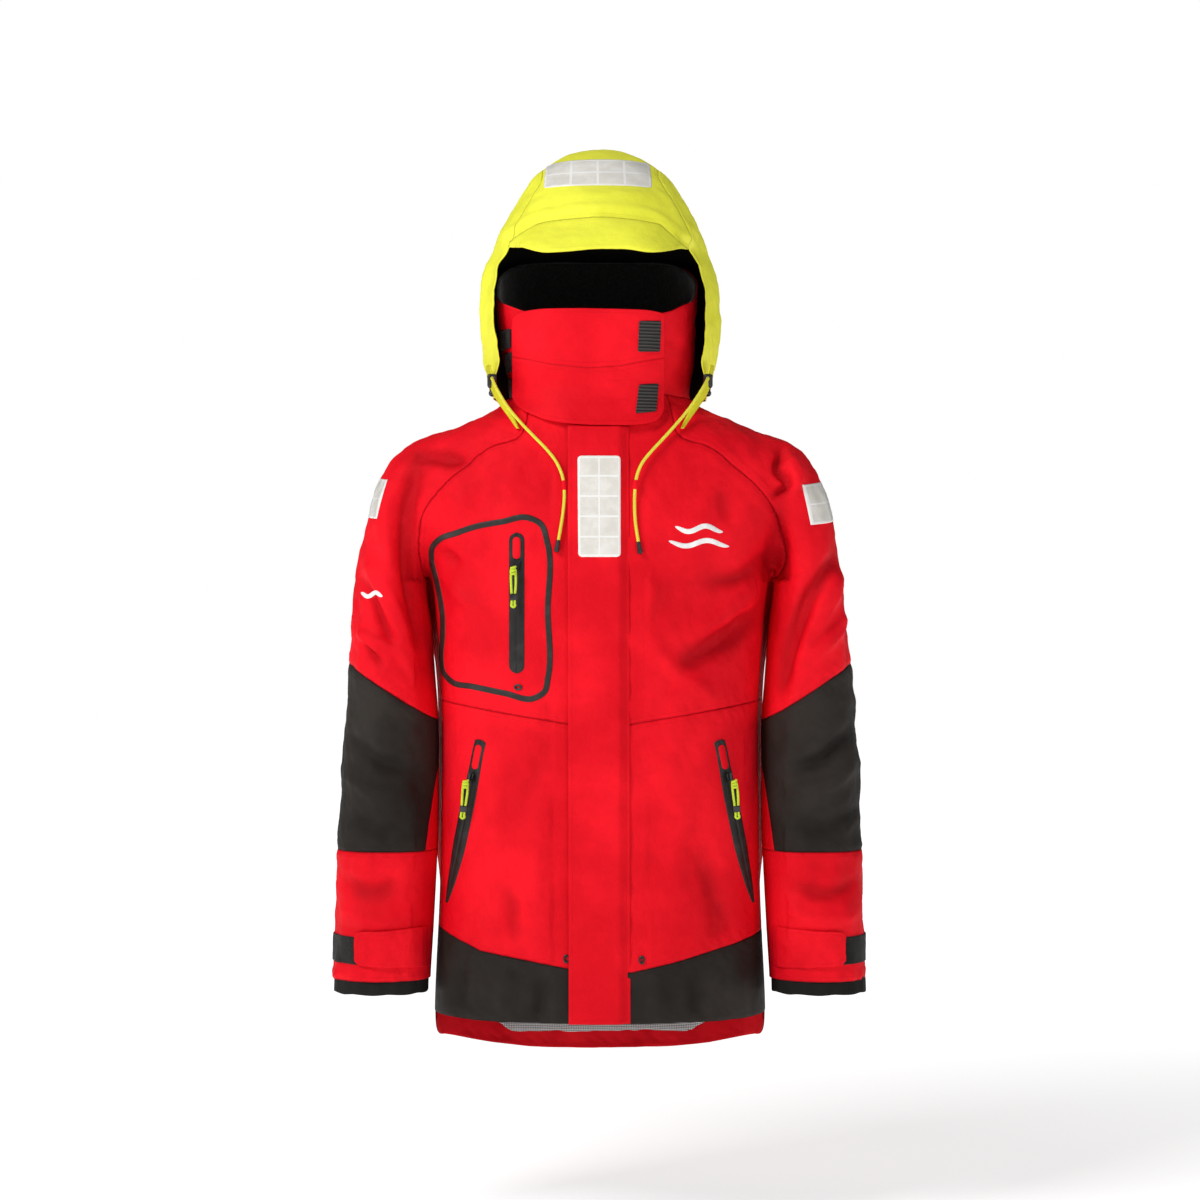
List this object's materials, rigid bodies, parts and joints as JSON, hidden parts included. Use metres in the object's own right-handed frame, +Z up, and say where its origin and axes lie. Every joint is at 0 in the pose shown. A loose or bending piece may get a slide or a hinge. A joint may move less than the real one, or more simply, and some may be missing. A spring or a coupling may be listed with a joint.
{
  "type": "foul weather jacket",
  "caption": "Hip-length sailing jacket with high collar, face guard, hood, storm flap, zipped pockets, drawcords and adjustable cuffs.",
  "frame": {"origin": "centre of the neck opening at the collar seam", "axes": "+Z up along the body, -Y to the front, +X to the wearer's left"},
  "size_m": [0.6932, 0.3698, 1.186],
  "materials": {
    "red_shell": "matt woven shell fabric, red",
    "black_shell": "matt woven shell fabric, black",
    "yellow_shell": "fluorescent yellow woven shell fabric",
    "fleece": "short black fleece",
    "lining": "dark woven lining",
    "mesh": "black and white knitted mesh",
    "reflective": "silver retroreflective sheet with a white grid",
    "hook_and_loop": "black hook-and-loop tape",
    "coated_tape": "dark grey coated tape",
    "zip_teeth": "moulded dark teeth on woven tape",
    "hardware": "black moulded plastic",
    "slider_metal": "black painted metal",
    "drawcord": "braided yellow elastic cord"
  },
  "bodies": {
    "body": {"back_hem_facing": "red_shell", "back_hem_panel": "black_shell", "back_panel": "red_shell", "chest_pocket_tape": "coated_tape", "chest_zip": "coated_tape", "collar_lining": "fleece", "collar_loop_patches": "hook_and_loop", "collar_shell": "red_shell", "cord_ends": "hardware", "cord_keepers": "red_shell", "drawcord_left": "drawcord", "drawcord_right": "drawcord", "eyelets": "hardware", "hand_zips": "coated_tape", "hanger_loop": "red_shell", "hem_panels": "black_shell", "lower_fronts": "red_shell", "main_zip": "zip_teeth", "mesh_lining": "mesh", "pocket_bags": "lining", "raglan_shoulders": "red_shell", "upper_fronts": "red_shell", "zip_guard": "red_shell"},
    "flap": {"storm_flap": "red_shell", "chest_reflector": "reflective"},
    "guard": {"face_guard": "red_shell", "face_guard_patches": "hook_and_loop"},
    "hood": {"hood_centre": "yellow_shell", "hood_side_panels": "yellow_shell", "hood_peak": "yellow_shell", "hood_lining": "lining", "hood_reflector": "reflective", "cord_lock_right": "hardware", "cord_lock_left": "hardware"},
    "chest_slider": {"chest_slider": "slider_metal"},
    "chest_pull": {"chest_pull": "drawcord"},
    "main_slider": {"main_slider": "slider_metal"},
    "lock_button_right": {"lock_button_right": "hardware"},
    "hand_slider_right": {"hand_slider_right": "slider_metal"},
    "hand_pull_right": {"hand_pull_right": "drawcord"},
    "upper_arm_right": {"sleeve_upper_right": "red_shell", "elbow_panel_upper_right": "black_shell", "sleeve_reflector_right": "reflective"},
    "forearm_right": {"elbow_panel_lower_right": "black_shell", "sleeve_lower_right": "red_shell", "inner_cuff_right": "lining", "cuff_loop_strip_right": "hook_and_loop"},
    "cuff_tab_right": {"cuff_tab_right": "red_shell"},
    "lock_button_left": {"lock_button_left": "hardware"},
    "hand_slider_left": {"hand_slider_left": "slider_metal"},
    "hand_pull_left": {"hand_pull_left": "drawcord"},
    "upper_arm_left": {"sleeve_upper_left": "red_shell", "elbow_panel_upper_left": "black_shell", "sleeve_reflector_left": "reflective"},
    "forearm_left": {"elbow_panel_lower_left": "black_shell", "sleeve_lower_left": "red_shell", "inner_cuff_left": "lining", "cuff_loop_strip_left": "hook_and_loop"},
    "cuff_tab_left": {"cuff_tab_left": "red_shell"}
  },
  "joints": [
    {"name": "storm_flap_opens", "type": "hinge", "parent": "body", "child": "flap", "pos_m": [0.0363, -0.1538, -0.4], "axis": [0, 0, 1], "range_deg": [0, 95]},
    {"name": "face_guard_opens", "type": "hinge", "parent": "body", "child": "guard", "pos_m": [0.0815, -0.104, 0.06], "axis": [0, 0, 1], "range_deg": [0, 52]},
    {"name": "hood_tilts_back", "type": "hinge", "parent": "body", "child": "hood", "pos_m": [0, 0.113, 0.011], "axis": [-1, 0, 0], "range_deg": [0, 75]},
    {"name": "lock_button_right", "type": "slide", "parent": "hood", "child": "lock_button_right", "axis": [0, 0, 1], "range_m": [0, 0.003], "stiffness_N_per_m": 200},
    {"name": "shoulder_right", "type": "hinge", "parent": "body", "child": "upper_arm_right", "pos_m": [-0.2223, 0, -0.037], "axis": [0, 1, 0], "range_deg": [0, 40]},
    {"name": "elbow_right", "type": "hinge", "parent": "upper_arm_right", "child": "forearm_right", "pos_m": [-0.275, -0.0986, -0.4553], "axis": [-1, 0, 0], "range_deg": [0, 70]},
    {"name": "cuff_tab_right_opens", "type": "hinge", "parent": "forearm_right", "child": "cuff_tab_right", "pos_m": [-0.231, -0.084, -0.697], "axis": [0, 0, 1], "range_deg": [0, 60]},
    {"name": "hand_slider_right", "type": "slide", "parent": "body", "child": "hand_slider_right", "axis": [-0.1755, 0.1718, -0.9694], "range_m": [0, 0.118]},
    {"name": "hand_pull_right_swings", "type": "hinge", "parent": "hand_slider_right", "child": "hand_pull_right", "pos_m": [-0.16724, -0.12048, -0.47321], "axis": [-0.7631, 0.5984, 0.2442], "range_deg": [0, 80]},
    {"name": "lock_button_left", "type": "slide", "parent": "hood", "child": "lock_button_left", "axis": [0, 0, 1], "range_m": [0, 0.003], "stiffness_N_per_m": 200},
    {"name": "shoulder_left", "type": "hinge", "parent": "body", "child": "upper_arm_left", "pos_m": [0.2223, 0, -0.037], "axis": [0, -1, 0], "range_deg": [0, 40]},
    {"name": "elbow_left", "type": "hinge", "parent": "upper_arm_left", "child": "forearm_left", "pos_m": [0.275, -0.0986, -0.4553], "axis": [-1, 0, 0], "range_deg": [0, 70]},
    {"name": "cuff_tab_left_opens", "type": "hinge", "parent": "forearm_left", "child": "cuff_tab_left", "pos_m": [0.231, -0.084, -0.697], "axis": [0, 0, -1], "range_deg": [0, 60]},
    {"name": "hand_slider_left", "type": "slide", "parent": "body", "child": "hand_slider_left", "axis": [0.1755, 0.1718, -0.9694], "range_m": [0, 0.118]},
    {"name": "hand_pull_left_swings", "type": "hinge", "parent": "hand_slider_left", "child": "hand_pull_left", "pos_m": [0.16724, -0.12048, -0.47321], "axis": [-0.7631, -0.5984, -0.2442], "range_deg": [0, 80]},
    {"name": "chest_slider", "type": "slide", "parent": "body", "child": "chest_slider", "axis": [0, 0, -1], "range_m": [0, 0.108]},
    {"name": "chest_pull_swings", "type": "hinge", "parent": "chest_slider", "child": "chest_pull", "pos_m": [-0.104, -0.15097, -0.206], "axis": [-1, 0, 0], "range_deg": [0, 80]},
    {"name": "main_slider", "type": "slide", "parent": "body", "child": "main_slider", "axis": [0, 0.06, -0.9982], "range_m": [0, 0.075]}
  ]
}
